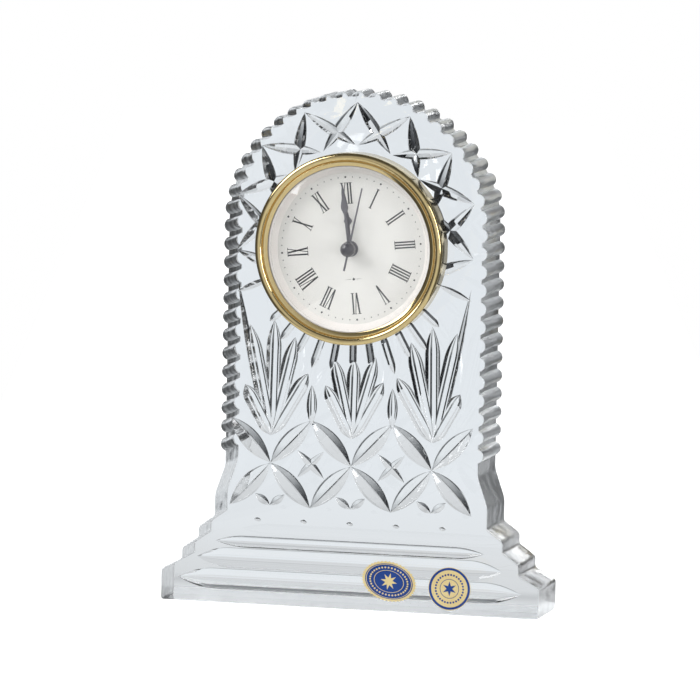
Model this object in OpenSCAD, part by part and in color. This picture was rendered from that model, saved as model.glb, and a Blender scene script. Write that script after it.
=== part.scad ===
// Crystal desk clock: a cut-crystal arch on a stepped base, bored through for a round press-in clock.
// Origin at the centre of the base's underside. X right, front towards -Y, Z up. All sizes in mm.

/* [Crystal body] */
// Whole height of the crystal, foot to crown
height = 187.6; // [150:0.1:240]
// Front-to-back thickness of the crystal
thickness = 28.2; // [22:0.1:40]
// Width of the foot block
foot_width = 140.8; // [120:0.1:180]
// Height of the foot block's upright sides
foot_height = 11.2; // [8:0.1:20]
// Bevel along the foot block's lower edges
foot_bevel = 1; // [0.4:0.1:2]
// Bevel under the foot block's rear edge
rear_bevel = 2.4; // [0.5:0.1:4]
// Width of the second step, above the foot
second_step_width = 125.4; // [100:0.1:150]
// Width of the third step
third_step_width = 113.2; // [95:0.1:140]
// Width of the neck under the column
neck_width = 101.4; // [90:0.1:120]
// Rise of each step's sloping tread
tread_rise = 4.2; // [2:0.1:6]
// Height of each step's upright riser
riser = 3.9; // [2:0.1:6]
// Height of the neck's upright sides
neck_height = 8.1; // [5:0.1:12]
// Rise of the neck's shoulder up to the first scallop
shoulder_rise = 10.7; // [6:0.1:16]
// Width of the column over the scallop tips
column_width = 97.7; // [80:0.1:110]
// Spacing of the scallops up the column's sides
scallop_pitch = 6.63; // [5:0.01:9]
// Radius of one scallop's round nose
scallop_radius = 2.6; // [2:0.1:4]
// Depth of the flat valley between two scallops
scallop_depth = 1.85; // [1:0.05:2.5]
// Number of scallop steps in a quarter of the crown
crown_steps = 11; // [7:1:15]
// Height above the foot at which the crown's back starts to slope
back_slope_start = 146; // [120:1:170]
// Slope of the crown's back from the upright
back_slope = 16; // [5:0.5:25]

/* [Cut decoration] */
// Depth of the three long flutes across the foot
flute_depth = 1.5; // [0.6:0.1:2.5]
// Radius of the wheel that tapers the flutes at their ends
flute_wheel = 62; // [30:1:100]
// Spacing of the crossed cuts over the lower front
cross_spacing = 30; // [24:0.5:34]
// Height of the crossed cuts' centres above the foot
cross_height = 52; // [46:0.5:60]
// Reach of one crossed cut, upwards or downwards
cross_reach = 16; // [10:0.5:18]
// Width of a crossed cut
cross_cut = 5.4; // [3:0.1:7]
// Width of a fan petal's cut
petal_cut = 4.2; // [2:0.1:6]
// Width of a cut in the ring of points round the crown
point_cut = 2.8; // [1.5:0.1:4]
// Radius to the outer tips of the ring of points
point_radius = 45; // [42:0.1:47]
// Number of points that would make the whole ring
point_count = 14; // [10:2:20]
// Depth of a decoration cut as a share of its width
cut_steepness = 0.3; // [0.2:0.01:0.5]

/* [Press-in clock] */
// Height of the dial's centre above the foot
dial_height = 131.5; // [110:0.5:150]
// Bore through the crystal for the clock
bore_diameter = 60; // [50:0.1:66]
// Turn of the clock in its bore, anticlockwise from the front
clock_turn = 6; // [-30:1:30]
// Overlap of the bezel over the crystal round the bore
bezel_overlap = 4.7; // [3.5:0.1:8]
// Height of the bezel in front of the crystal
bezel_height = 10.9; // [9:0.1:14]
// Step from the crystal's bore out to the bezel's own bore
bezel_step = 0.7; // [0.3:0.05:1.5]
// Overhang of the bezel's lip over the lens
lip_overhang = 0.7; // [0.5:0.05:1.5]
// Height of the dial's face in front of the crystal
dial_level = 5; // [3:0.1:6]
// Thickness of the dial
dial_plate = 0.4; // [0.2:0.1:1]
// Width of the sloping ring, seen from the front
dial_ring_width = 3.5; // [2:0.1:5]
// Height of the sloping ring between dial and lens
dial_ring_height = 3.2; // [2:0.1:4]
// Thickness of the lens
lens_thickness = 1.3; // [0.8:0.1:2]
// Rise of the lens's dome above its rim
lens_rise = 5.7; // [4:0.1:8]
// Depth of the case behind the crystal's front face
case_depth = 13.5; // [12:0.1:20]
// Gap between the case and the bore, filled by the grip gasket
case_gap = 1.6; // [1.2:0.05:3]
// Wall of the case
case_wall = 1.2; // [0.8:0.1:2]
// Height of one rubber rib on the grip gasket
gasket_rib = 0.8; // [0.3:0.1:1.2]
// Gap between the gasket's ribs and the bore
gasket_gap = 0.05; // [0.02:0.01:0.1]

/* [Movement] */
// Thickness of the mainplate
mainplate_thickness = 1.2; // [0.8:0.1:2]
// Thickness of the train bridge
bridge_thickness = 0.8; // [0.6:0.1:1.5]
// Space between the mainplate and the train bridge
train_space = 7.2; // [6.8:0.1:9]
// Distance from the centre to the third, fifth and hands' neighbour arbors
train_distance = 9; // [8:0.1:10]
// Distance from the rotor to the fifth wheel's arbor
rotor_distance = 7; // [6:0.1:8]
// Distance between arbors in the motion work under the dial
motion_distance = 6; // [5.6:0.1:7]
// Radius of the train's steel arbors
arbor_radius = 0.4; // [0.3:0.01:0.5]
// Running clearance of each arbor in its hole, on the radius
running_gap = 0.05; // [0.02:0.01:0.1]
// Outer radius of the tube that carries the minute hand
cannon_radius = 0.9; // [0.8:0.01:1]
// Outer radius of the pipe that carries the hour hand
pipe_radius = 1.6; // [1.4:0.01:2]
// Thickness of each plastic wheel
wheel_thickness = 0.8; // [0.5:0.1:0.9]
// Thickness of each pinion
pinion_thickness = 1; // [0.8:0.1:1.2]
// Diameter of the rotor's magnet
magnet_diameter = 5.2; // [4:0.1:6]
// Diameter of the coil's winding
coil_diameter = 4.4; // [3:0.1:4.6]
// Length of the coil's winding
coil_length = 14; // [10:0.5:16]
// Diameter of the button cell
cell_diameter = 11.6; // [7.9:0.1:12.5]
// Thickness of the button cell
cell_thickness = 5.4; // [2:0.1:5.6]
// Diameter of the screw heads on the bridge
screw_head = 2.6; // [2:0.1:3]

/* [Hands] */
// Length of the hour hand from the centre
hour_hand_length = 14; // [11:0.1:20]
// Length of the minute hand from the centre
minute_hand_length = 23.6; // [18:0.1:26]
// Length of the second hand from the centre
second_hand_length = 22.4; // [16:0.1:26]
// Length of the second hand's tail
second_hand_tail = 8; // [4:0.1:12]
// Width of the hour and minute hands' stems
stem_width = 1.15; // [0.8:0.05:2]
// Thickness of each hand
hand_thickness = 0.35; // [0.2:0.05:0.5]
// Diameter of the ball cap over the hands' centre
cap_diameter = 5.5; // [3:0.1:7]

/* [Back and labels] */
// Diameter of the setting knob
knob_diameter = 7.2; // [5:0.1:10]
// Height of the setting knob
knob_height = 2.4; // [1.5:0.1:4]
// Diameter of the battery hatch's rim
hatch_diameter = 14.6; // [13.6:0.1:15]
// Thickness of the battery hatch's rim
hatch_rim = 0.8; // [0.5:0.1:1.5]
// Thickness of the foil labels
label_thickness = 0.15; // [0.1:0.05:0.4]
// Length of the oval label
oval_length = 20.5; // [14:0.5:26]
// Height of the oval label
oval_height = 14.5; // [10:0.5:18]
// Diameter of the round label
round_label_diameter = 15.6; // [10:0.1:18]

/* [Hidden] */
$fn = 64;
front = -thickness / 2;
back = thickness / 2;

// Heights of the steps, each tread starting where the riser below it ends
second_step_z = foot_height + tread_rise;
third_step_z = second_step_z + riser + tread_rise;
neck_z = third_step_z + riser + tread_rise;
shoulder_z = neck_z + neck_height;
column_z = shoulder_z + shoulder_rise;
corner = 0.9;

// The crown is a half circle on the column
tip_radius = column_width / 2;
valley_radius = tip_radius - scallop_depth;
nose_radius = tip_radius - scallop_radius;
crown_z = height - tip_radius;
crown_top_gap = 6.25;
crown_step = (90 - crown_top_gap) / crown_steps;
first_scallop_z = crown_z - 1.3;
scallop_rows = floor((first_scallop_z - column_z - scallop_radius) / scallop_pitch);

// Three flutes, lowest first: centre height, width and the reach of each pointed end
flutes = [[8.7, 7.6, 64], [16.5, 7.5, 57], [22.6, 4.3, 50]];

// The clock's stack, measured forwards from the crystal's front face
bore_radius = bore_diameter / 2;
bezel_radius = bore_radius + bezel_overlap;
bezel_bore = bore_radius + bezel_step;
lip_radius = bezel_bore - lip_overhang;
dial_opening = bezel_bore - dial_ring_width;
case_radius = bore_radius - case_gap;
case_bore = case_radius - case_wall;
stack_gap = 0.08;
stack_radius = bezel_bore - stack_gap;
flange_top = dial_level - dial_plate;
flange_bottom = flange_top - 1.4;
lock_top = flange_bottom;
lock_bottom = lock_top - 1.5;
rim_bottom = dial_level + dial_ring_height;
lip_bottom = rim_bottom + 1.1;
dome_radius = (pow(lip_radius, 2) + pow(lens_rise, 2)) / (2 * lens_rise);
dome_z = lip_bottom + lens_rise - dome_radius;
roll_radius = 1.8;
wall_radius = bezel_radius - 0.5;

// The movement's levels, measured the same way
plate_front = 0;
plate_back = plate_front - mainplate_thickness;
bridge_front = plate_back - train_space;
bridge_back = bridge_front - bridge_thickness;
cup_back = -case_depth;
cup_floor = cup_back + case_wall;
centre_z = plate_back - 0.6 - wheel_thickness;
third_z = centre_z - 0.6 - pinion_thickness - wheel_thickness;
seconds_z = third_z - 0.5 - wheel_thickness;
fifth_z = seconds_z - 0.5 - wheel_thickness;
cannon_z = plate_front + 0.5;
hour_wheel_z = cannon_z + pinion_thickness + 0.5;

// Hands above the dial
hour_hand_z = dial_level + 1.4;
minute_hand_z = hour_hand_z + hand_thickness + 0.8;
second_hand_z = minute_hand_z + hand_thickness + 0.7;
cap_z = second_hand_z + hand_thickness;
cannon_bore = arbor_radius + running_gap;
pipe_bore = cannon_radius + running_gap;
hand_boss = 2.9;

// Tooth counts. Seconds to minutes is 60 to 1 and minutes to hours is 12 to 1
rotor_teeth = 10;
fifth_teeth = 60;
fifth_pinion = 10;
seconds_teeth = 50;
seconds_pinion = 8;
third_teeth = 64;
third_pinion = 8;
centre_teeth = 60;
cannon_teeth = 10;
minute_teeth = 30;
minute_pinion = 8;
hour_teeth = 32;
setting_teeth = 10;

// Tooth modules, each from the distance between its two arbors
rotor_module = 2 * rotor_distance / (rotor_teeth + fifth_teeth);
fifth_module = 2 * train_distance / (fifth_pinion + seconds_teeth);
seconds_module = 2 * train_distance / (seconds_pinion + third_teeth);
third_module = 2 * train_distance / (third_pinion + centre_teeth);
cannon_module = 2 * motion_distance / (cannon_teeth + minute_teeth);
hour_module = 2 * motion_distance / (minute_pinion + hour_teeth);

// Directions and places of the arbors, as seen from the front
third_angle = 0;
fifth_angle = 130;
rotor_angle = 190;
minute_angle = 240;
function polar(r, a) = [r * cos(a), r * sin(a)];
third_at = polar(train_distance, third_angle);
fifth_at = polar(train_distance, fifth_angle);
rotor_at = fifth_at + polar(rotor_distance, rotor_angle);
minute_at = polar(motion_distance, minute_angle);
setting_at = minute_at + polar(motion_distance, minute_angle);
cell_at = polar(case_bore - cell_diameter / 2 - 2.3, -60);
screws_at = [for (a = [32, 134, 242]) polar(case_bore - 4, a)];
pillar_radius = 1.6;

// Magnet, stator and coil
magnet_radius = magnet_diameter / 2;
magnet_gap = 0.5;
stator_z = plate_back - 4;
stator_thickness = 1;
stator_width = 9.6;
coil_x = rotor_at[0] - stator_width / 2 - coil_diameter / 2 - 0.32;
coil_y = 0;
core_width = 1.8;
core_thickness = 1;
core_length = coil_length + 6;
rest_width = 1.2;

// Board with its chip and quartz
board_x = -9;
board_y = 8.5;
board_width = 19;
board_thickness = 0.6;
can_radius = 1;

// Button cell behind its opening in the bridge
cell_back = cup_floor + 0.3;
cell_front = cell_back + cell_thickness;
cell_gap = 0.3;
cell_hole = cell_diameter / 2 + cell_gap;
contact_thickness = 0.3;
hatch_plug = cell_hole + 0.3;
hatch_hole = hatch_plug + 0.1;
knob_gap = 0.3;

// Grip gasket
rib_pitch = 3.5;
rib_width = 1.4;

// Labels
oval_at = [15, 11];
oval_tilt = -12;
oval_teeth = 44;
round_at = [37.5, 9.5];

// Shared frames and shapes

// Puts its children in the clock's own frame: z towards the viewer from the crystal's front face
module in_clock() {
    translate([0, front, dial_height])
    rotate([90, 0, 0])
    rotate([0, 0, clock_turn])
    children();
}

// A disc between two levels
module disc(r, z0, z1) {
    translate([0, 0, z0])
    cylinder(r = r, h = z1 - z0);
}

// A ring between two levels
module ring(outer, inner, z0, z1) {
    difference() {
        disc(outer, z0, z1);
        disc(inner, z0 - 1, z1 + 1);
    }
}

// Outline of a gear with narrow straight-sided teeth, the first one pointing at angle turn
function gear_points(teeth, m, turn) = [
    for (i = [0 : teeth - 1])
    for (c = [[-0.26, -1.15], [-0.12, 0.75], [0.12, 0.75], [0.26, -1.15]])
    polar(m * (teeth / 2 + c[1]), turn + 360 / teeth * (i + c[0]))
];

// A gear with a round hole, its lower face at z
module gear(teeth, m, turn, z, h, hole) {
    translate([0, 0, z])
    difference() {
        linear_extrude(height = h)
        polygon(gear_points(teeth, m, turn));
        translate([0, 0, -1])
        cylinder(r = hole, h = h + 2);
    }
}

// A straight groove with tapered ends, in its own frame: x along it, z out of the face it is cut in.
// section runs from the edge, [half width, 0], down to the bottom, [0, -depth].
// Each station is [x, scale of the section]; the groove runs out to nothing at x = reach on both sides.
module groove(section, stations, reach) {
    over = 0.6;
    flare = over * (section[0][0] - section[1][0]) / -section[1][1];
    m = len(section);
    row = 2 * m - 1;
    n = len(stations);
    rows = [
        for (s = stations)
        for (i = [0 : row - 1])
        let (q = section[min(i, row - 1 - i)], side = sign(i - m + 1))
        i == 0 || i == row - 1
            ? [s[0], side * (q[0] * s[1] + flare), over]
            : [s[0], side * q[0] * s[1], q[1] * s[1]]
    ];
    points = concat([[-reach, 0, over]], rows, [[reach, 0, over]]);
    last = n * row + 1;
    faces = concat(
        [for (i = [1 : row - 1]) [0, i, i + 1]],
        [for (j = [0 : n - 2])
            for (i = [1 : row - 1])
            [j * row + i, (j + 1) * row + i, (j + 1) * row + i + 1, j * row + i + 1]],
        [for (i = [1 : row - 1]) [last, (n - 1) * row + i + 1, (n - 1) * row + i]],
        [concat([0], [for (j = [1 : n]) j * row], [last], [for (j = [n - 1 : -1 : 0]) j * row + 1])]
    );
    polyhedron(points = points, faces = faces);
}

// A leaf-shaped cut of a bevelled wheel
module leaf_cut(length, width, depth) {
    groove(
        [[width / 2, 0], [0, -depth]],
        [for (t = [-0.6, 0, 0.6]) [t * length / 2, 1 - t * t]],
        length / 2 * sqrt(1 + 0.6 / depth)
    );
}

// A leaf cut in the crystal's front face from one point to another, each given as [x, z]
module front_cut(from, to, width) {
    run = to - from;
    translate([(from[0] + to[0]) / 2, front, (from[1] + to[1]) / 2])
    rotate([90, 0, 0])
    rotate([0, 0, atan2(run[1], run[0])])
    leaf_cut(norm(run), width, width * cut_steepness);
}

// Crystal

// Half outline of the stepped base, from the foot up to the column
base_side = [
    [foot_width / 2 - foot_bevel, 0],
    [foot_width / 2, foot_bevel],
    [foot_width / 2, foot_height - corner],
    [foot_width / 2 - corner, foot_height],
    [second_step_width / 2, second_step_z],
    [second_step_width / 2, second_step_z + riser - corner],
    [second_step_width / 2 - corner, second_step_z + riser],
    [third_step_width / 2, third_step_z],
    [third_step_width / 2, third_step_z + riser - corner],
    [third_step_width / 2 - corner, third_step_z + riser],
    [neck_width / 2, neck_z],
    [neck_width / 2, shoulder_z],
    [valley_radius, column_z],
    [valley_radius, crown_z]
];

module crystal_outline() {
    polygon(concat(base_side, [for (i = [len(base_side) - 1 : -1 : 0]) [-base_side[i][0], base_side[i][1]]]));
    intersection() {
        translate([0, crown_z])
        circle(r = valley_radius);
        translate([-tip_radius, crown_z])
        square([2 * tip_radius, tip_radius]);
    }
    // Scallops round the crown, then down both sides of the column
    for (k = [-crown_steps : crown_steps]) {
        translate([0, crown_z] + polar(nose_radius, 90 + k * crown_step))
        circle(r = scallop_radius);
    }
    for (side = [-1, 1])
    for (k = [0 : scallop_rows]) {
        translate([side * nose_radius, first_scallop_z - k * scallop_pitch])
        circle(r = scallop_radius);
    }
}

// One long flute: a round-bottomed groove that a large wheel tapers to a point at each end
module flute(z, width, reach) {
    profile = (pow(width / 2, 2) + pow(flute_depth, 2)) / (2 * flute_depth);
    edge = asin(width / 2 / profile);
    section = [for (k = [3 : -1 : 0]) profile * [sin(edge * k / 3), cos(edge) - cos(edge * k / 3)]];
    taper = sqrt(pow(flute_wheel, 2) - pow(flute_wheel - flute_depth, 2));
    straight = reach - taper;
    ends = [for (u = [0, 0.5, 0.8]) [straight + taper * u, 1 - u * u]];
    translate([0, front, z])
    rotate([90, 0, 0])
    groove(
        section,
        concat([for (i = [len(ends) - 1 : -1 : 0]) [-ends[i][0], ends[i][1]]], ends),
        straight + taper * sqrt(1 + 0.6 / flute_depth)
    );
}

// Four arms of one crossed cut, each its own leaf from the centre
module crossed_cut(x) {
    for (sx = [-1, 1])
    for (sz = [-1, 1]) {
        arm = [sx * cross_spacing / 2, sz * cross_reach];
        front_cut([x, cross_height] - 0.06 * arm, [x, cross_height] + arm, cross_cut);
    }
}

// The small cross in the middle of a diamond
module diamond_cross(x) {
    for (s = [-1, 1])
    front_cut([x - 5, cross_height - 5 * s], [x + 5, cross_height + 5 * s], petal_cut * 0.7);
}

// Petals that spread up from the cuts' centres; each is [lean of the tip, rise of the tip]
centre_petals = [[-10, 29], [-7, 39], [0.5, 39], [8.5, 40], [11.5, 31]];
side_petals = [[-13.5, 33], [-8.5, 46], [-0.7, 52], [8.5, 50], [10, 28]];
petal_foot = 10;

// Fan of petals; flip is -1 for the mirrored one
module fan(x, petals, flip) {
    for (p = petals)
    front_cut([x, cross_height + petal_foot], [x + flip * p[0], cross_height + p[1]], petal_cut);
}

// Two short cuts that smile under each cross
module smile(x) {
    for (s = [-1, 1])
    front_cut([x, cross_height - cross_reach + 0.5], [x + s * 5.5, cross_height - cross_reach + 4.5], petal_cut * 0.7);
}

// Ring of points that follows the crown: two leaf cuts meet at each tip
module point_ring() {
    step = 360 / point_count;
    for (k = [-4 : 4])
    for (s = [-1, 1]) {
        tip = polar(point_radius, 90 + k * step) + [0, crown_z];
        foot = polar(point_radius - 9.5, 90 + (k + s * 0.62) * step) + [0, crown_z];
        front_cut(tip, foot, point_cut);
    }
}

module decoration() {
    for (k = [-1 : 1]) {
        crossed_cut(k * cross_spacing);
        smile(k * cross_spacing);
    }
    for (side = [-1, 1]) {
        diamond_cross(side * cross_spacing / 2);
        fan(side * cross_spacing, side_petals, side);
        // Spear over each diamond, long slanting side cut and the bar at the ring's end
        front_cut([side * 15, 68], [side * 15, 80], petal_cut * 0.8);
        front_cut([side * 33.5, 67], [side * 43.3, 118], petal_cut * 0.6);
        front_cut([side * 32, 118.8], [side * 42.5, 114], point_cut * 0.7);
    }
    fan(0, centre_petals, 1);
    point_ring();
}

module crystal_body() {
    color([0.86, 0.9, 0.93, 0.5])
    difference() {
        translate([0, back, 0])
        rotate([90, 0, 0])
        linear_extrude(height = thickness)
        crystal_outline();
        // Bore for the clock
        translate([0, -thickness, dial_height])
        rotate([-90, 0, 0])
        cylinder(r = bore_radius, h = 2 * thickness);
        // Sloping back of the crown
        translate([0, back, back_slope_start])
        rotate([back_slope, 0, 0])
        translate([-column_width, 0, 0])
        cube([2 * column_width, thickness, height]);
        // Bevel under the rear edge of the foot
        translate([0, back, 0])
        rotate([45, 0, 0])
        cube([2 * foot_width, rear_bevel * sqrt(2), rear_bevel * sqrt(2)], center = true);
        for (f = flutes)
        flute(f[0], f[1], f[2]);
        decoration();
    }
}

// Labels, flat on the foot's front

module oval_label() {
    color([0.11, 0.25, 0.54])
    translate([oval_at[0], front, oval_at[1]])
    rotate([90, 0, 0])
    rotate([0, 0, oval_tilt])
    linear_extrude(height = label_thickness)
    polygon([for (i = [0 : 2 * oval_teeth - 1])
        let (a = 180 / oval_teeth * i, r = i % 2 == 0 ? 1 : 0.955)
        [r * oval_length / 2 * cos(a), r * oval_height / 2 * sin(a)]]);
}

module round_label() {
    color([0.93, 0.84, 0.6])
    translate([round_at[0], front, round_at[1]])
    rotate([90, 0, 0])
    cylinder(r = round_label_diameter / 2, h = label_thickness);
}

// Case and front of the clock

module bezel() {
    roll_x = bezel_radius - roll_radius;
    roll_z = bezel_height - roll_radius;
    color([0.83, 0.66, 0.32])
    in_clock()
    rotate_extrude() {
        polygon([
            [bezel_bore, 0],
            [wall_radius - 0.6, 0],
            [wall_radius, 0.6],
            [wall_radius, roll_z],
            [roll_x, bezel_height - 0.9],
            [roll_x - 1, bezel_height - 1.2],
            [roll_x - 1.5, bezel_height - 0.7],
            [lip_radius, lip_bottom + 0.25],
            [lip_radius, lip_bottom],
            [bezel_bore, lip_bottom]
        ]);
        translate([roll_x, roll_z])
        circle(r = roll_radius);
    }
}

module lens() {
    color([0.9, 0.94, 0.96, 0.3])
    in_clock() {
        rotate_extrude()
        intersection() {
            difference() {
                translate([0, dome_z])
                circle(r = dome_radius, $fn = 256);
                translate([0, dome_z])
                circle(r = dome_radius - lens_thickness, $fn = 256);
            }
            translate([0, rim_bottom])
            square([lip_radius - 0.05, 2 * lens_rise]);
        }
        ring(stack_radius, lip_radius - 1.2, rim_bottom, lip_bottom);
    }
}

module dial_ring() {
    color([0.9, 0.87, 0.89])
    in_clock()
    rotate_extrude()
    polygon([
        [dial_opening, dial_level],
        [dial_opening + 0.15, dial_level + 0.25],
        [stack_radius - 0.9, rim_bottom],
        [stack_radius, rim_bottom],
        [stack_radius, dial_level]
    ]);
}

module dial() {
    color([0.93, 0.92, 0.9])
    in_clock()
    ring(stack_radius, pipe_radius + 0.5, flange_top, dial_level);
}

module lock_ring() {
    color([0.8, 0.8, 0.82])
    in_clock()
    ring(stack_radius, case_radius + 0.3, lock_bottom, lock_top);
}

module case_cup() {
    color([0.9, 0.9, 0.88])
    in_clock()
    difference() {
        union() {
            disc(case_radius, cup_back, flange_top);
            disc(stack_radius, flange_bottom, flange_top);
        }
        disc(case_bore, plate_back, flange_top + 1);
        disc(case_bore - 1, cup_floor, plate_back + 1);
        // Battery opening and the hole for the setting shaft
        translate([cell_at[0], cell_at[1], cup_back - 1])
        cylinder(r = hatch_hole, h = case_wall + 2);
        translate([setting_at[0], setting_at[1], cup_back - 1])
        cylinder(r = cannon_radius + 0.3, h = case_wall + 2);
    }
}

// Rubber band round the case, with three ribs that grip the bore
module grip_gasket() {
    gasket_outer = bore_radius - gasket_gap;
    band = gasket_outer - gasket_rib;
    color([0.12, 0.12, 0.13])
    in_clock() {
        ring(band, case_radius, 2.5 - case_depth, -0.6);
        for (k = [0 : 2])
        ring(gasket_outer, case_radius, 3.5 - case_depth + k * rib_pitch, 3.5 - case_depth + k * rib_pitch + rib_width);
    }
}

// Movement

module mainplate() {
    color([0.75, 0.75, 0.72])
    in_clock()
    difference() {
        union() {
            disc(case_bore - 0.1, plate_back, plate_front);
            // Pillars for the bridge
            for (p = screws_at)
            translate([p[0], p[1], bridge_front])
            cylinder(r = pillar_radius, h = train_space + 0.1);
            // Seat of the button cell's contact
            translate([cell_at[0], cell_at[1], cell_front + contact_thickness])
            cylinder(r = 4, h = plate_back - cell_front - contact_thickness + 0.1);
            // Rests for the coil core's ends
            for (y = [coil_y - coil_length / 2 - 1 - rest_width, coil_y + coil_length / 2 + 1])
            translate([coil_x - core_width / 2, y, stator_z + stator_thickness + core_thickness])
            cube([core_width, rest_width, plate_back - stator_z - stator_thickness - core_thickness + 0.1]);
            // Post of the minute wheel, in front of the plate
            translate([minute_at[0], minute_at[1], plate_back])
            cylinder(r = arbor_radius, h = mainplate_thickness + 3.6);
        }
        disc(cannon_radius + running_gap, plate_back - 1, plate_front + 1);
        for (p = [third_at, fifth_at, rotor_at])
        translate([p[0], p[1], plate_back - 1])
        cylinder(r = arbor_radius + running_gap, h = 3);
        translate([setting_at[0], setting_at[1], plate_back - 1])
        cylinder(r = cannon_radius + running_gap, h = 3);
        for (p = screws_at)
        translate([p[0], p[1], bridge_front - 1])
        cylinder(r = 0.7, h = 5);
    }
}

module train_bridge() {
    color([0.2, 0.35, 0.6])
    in_clock()
    difference() {
        disc(case_bore - 1.1, bridge_back, bridge_front);
        for (p = [[0, 0], third_at, fifth_at, rotor_at])
        translate([p[0], p[1], bridge_back - 1])
        cylinder(r = arbor_radius + running_gap, h = 3);
        translate([setting_at[0], setting_at[1], bridge_back - 1])
        cylinder(r = cannon_radius + running_gap, h = 3);
        translate([cell_at[0], cell_at[1], bridge_back - 1])
        cylinder(r = cell_hole, h = 3);
        for (p = screws_at)
        translate([p[0], p[1], bridge_back - 1])
        cylinder(r = 0.75, h = 3);
    }
}

module bridge_screws() {
    color([0.7, 0.7, 0.72])
    in_clock()
    for (p = screws_at)
    translate([p[0], p[1], 0])
    difference() {
        union() {
            disc(0.65, bridge_front - 0.1 + 3.5, bridge_front + 3.6);
            disc(0.65, bridge_back, bridge_front + 3.5);
            disc(screw_head / 2, bridge_back - 0.9, bridge_back);
        }
        translate([-0.2, -screw_head, bridge_back - 1.4])
        cube([0.4, 2 * screw_head, 0.9]);
    }
}

// Board on the bridge's back, rounded like the case at its outer edge
module circuit_board() {
    color([0.1, 0.4, 0.22])
    in_clock()
    intersection() {
        translate([board_x, board_y, bridge_back - board_thickness])
        cube([board_width, case_bore, board_thickness]);
        disc(case_bore - 3.5, bridge_back - 1, bridge_back + 1);
    }
}

module ic_chip() {
    color([0.1, 0.1, 0.1])
    in_clock()
    translate([board_x + 5, board_y + 6.5, bridge_back - board_thickness])
    rotate([180, 0, 0])
    cylinder(r1 = 3, r2 = 2.2, h = 1.1);
}

module quartz_can() {
    color([0.8, 0.81, 0.83])
    in_clock()
    translate([board_x + 10, board_y + 7, bridge_back - board_thickness - can_radius])
    rotate([0, 90, 0])
    cylinder(r = can_radius, h = 6);
}

// Flat iron plate with its hole round the magnet and two legs to the coil's core
module stator() {
    leg = 3;
    reach = coil_length / 2 + 1;
    color([0.55, 0.56, 0.58])
    in_clock()
    difference() {
        translate([0, 0, stator_z])
        linear_extrude(height = stator_thickness) {
            translate(rotor_at)
            square([stator_width, stator_width], center = true);
            translate([coil_x - core_width / 2, coil_y + reach - 0.4])
            square([rotor_at[0] - coil_x, leg]);
            translate([rotor_at[0] - 3, coil_y - reach - leg + 0.4])
            square([leg, rotor_at[1] - coil_y + reach]);
            translate([coil_x - core_width / 2, coil_y - reach - leg + 0.4])
            square([rotor_at[0] - coil_x, leg]);
        }
        translate([rotor_at[0], rotor_at[1], stator_z - 1])
        cylinder(r = magnet_radius + magnet_gap, h = stator_thickness + 2);
    }
}

module coil_core() {
    color([0.6, 0.6, 0.62])
    in_clock()
    translate([coil_x - core_width / 2, coil_y - core_length / 2, stator_z + stator_thickness])
    cube([core_width, core_length, core_thickness]);
}

module coil_winding() {
    mid = stator_z + stator_thickness + core_thickness / 2;
    color([0.72, 0.35, 0.16])
    in_clock()
    difference() {
        translate([coil_x, coil_y + coil_length / 2, mid])
        rotate([90, 0, 0])
        cylinder(r = coil_diameter / 2, h = coil_length);
        translate([coil_x - core_width / 2, coil_y - coil_length, mid - core_thickness / 2])
        cube([core_width, 2 * coil_length, core_thickness]);
    }
}

module rotor_magnet() {
    color([0.3, 0.3, 0.32])
    in_clock()
    translate([rotor_at[0], rotor_at[1], 0])
    ring(magnet_radius, arbor_radius, stator_z - 0.5, stator_z + stator_thickness + 0.5);
}

module rotor_pinion() {
    color([0.9, 0.9, 0.88])
    in_clock()
    translate([rotor_at[0], rotor_at[1], 0]) {
        gear(rotor_teeth, rotor_module, rotor_angle + 180 + 180 / rotor_teeth, fifth_z - 0.1, pinion_thickness, 0.1);
        disc(arbor_radius, bridge_back, plate_front - 0.2);
    }
}

module fifth_wheel() {
    color([0.85, 0.8, 0.55])
    in_clock()
    translate([fifth_at[0], fifth_at[1], 0]) {
        gear(fifth_teeth, rotor_module, rotor_angle, fifth_z, wheel_thickness, 0.1);
        gear(fifth_pinion, fifth_module, fifth_angle + 180 + 180 / fifth_pinion, fifth_z + wheel_thickness,
            seconds_z + pinion_thickness - fifth_z - wheel_thickness, 0.1);
        disc(arbor_radius, bridge_back, plate_front - 0.2);
    }
}

module seconds_wheel() {
    color([0.9, 0.88, 0.8])
    in_clock() {
        gear(seconds_teeth, fifth_module, fifth_angle, seconds_z, wheel_thickness, 0.1);
        gear(seconds_pinion, seconds_module, third_angle, seconds_z + wheel_thickness,
            third_z + pinion_thickness - seconds_z - wheel_thickness, 0.1);
        disc(arbor_radius, bridge_back, cap_z);
    }
}

module third_wheel() {
    color([0.85, 0.8, 0.55])
    in_clock()
    translate([third_at[0], third_at[1], 0]) {
        gear(third_teeth, seconds_module, third_angle + 180 + 180 / third_teeth, third_z, wheel_thickness, 0.1);
        gear(third_pinion, third_module, third_angle + 180, third_z + wheel_thickness,
            centre_z + wheel_thickness + 0.1 - third_z - wheel_thickness, 0.1);
        disc(arbor_radius, bridge_back, plate_front - 0.2);
    }
}

module centre_wheel() {
    color([0.9, 0.88, 0.8])
    in_clock()
    gear(centre_teeth, third_module, third_angle + 180 / centre_teeth, centre_z, wheel_thickness, cannon_radius);
}

// Tube that carries the minute hand, with its pinion for the motion work
module cannon_pinion() {
    color([0.8, 0.68, 0.4])
    in_clock()
    difference() {
        union() {
            gear(cannon_teeth, cannon_module, minute_angle + 180 / cannon_teeth, cannon_z, pinion_thickness, 0.1);
            disc(cannon_radius, centre_z - 0.3, minute_hand_z + hand_thickness);
        }
        disc(cannon_bore, centre_z - 1, minute_hand_z + 2);
    }
}

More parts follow.
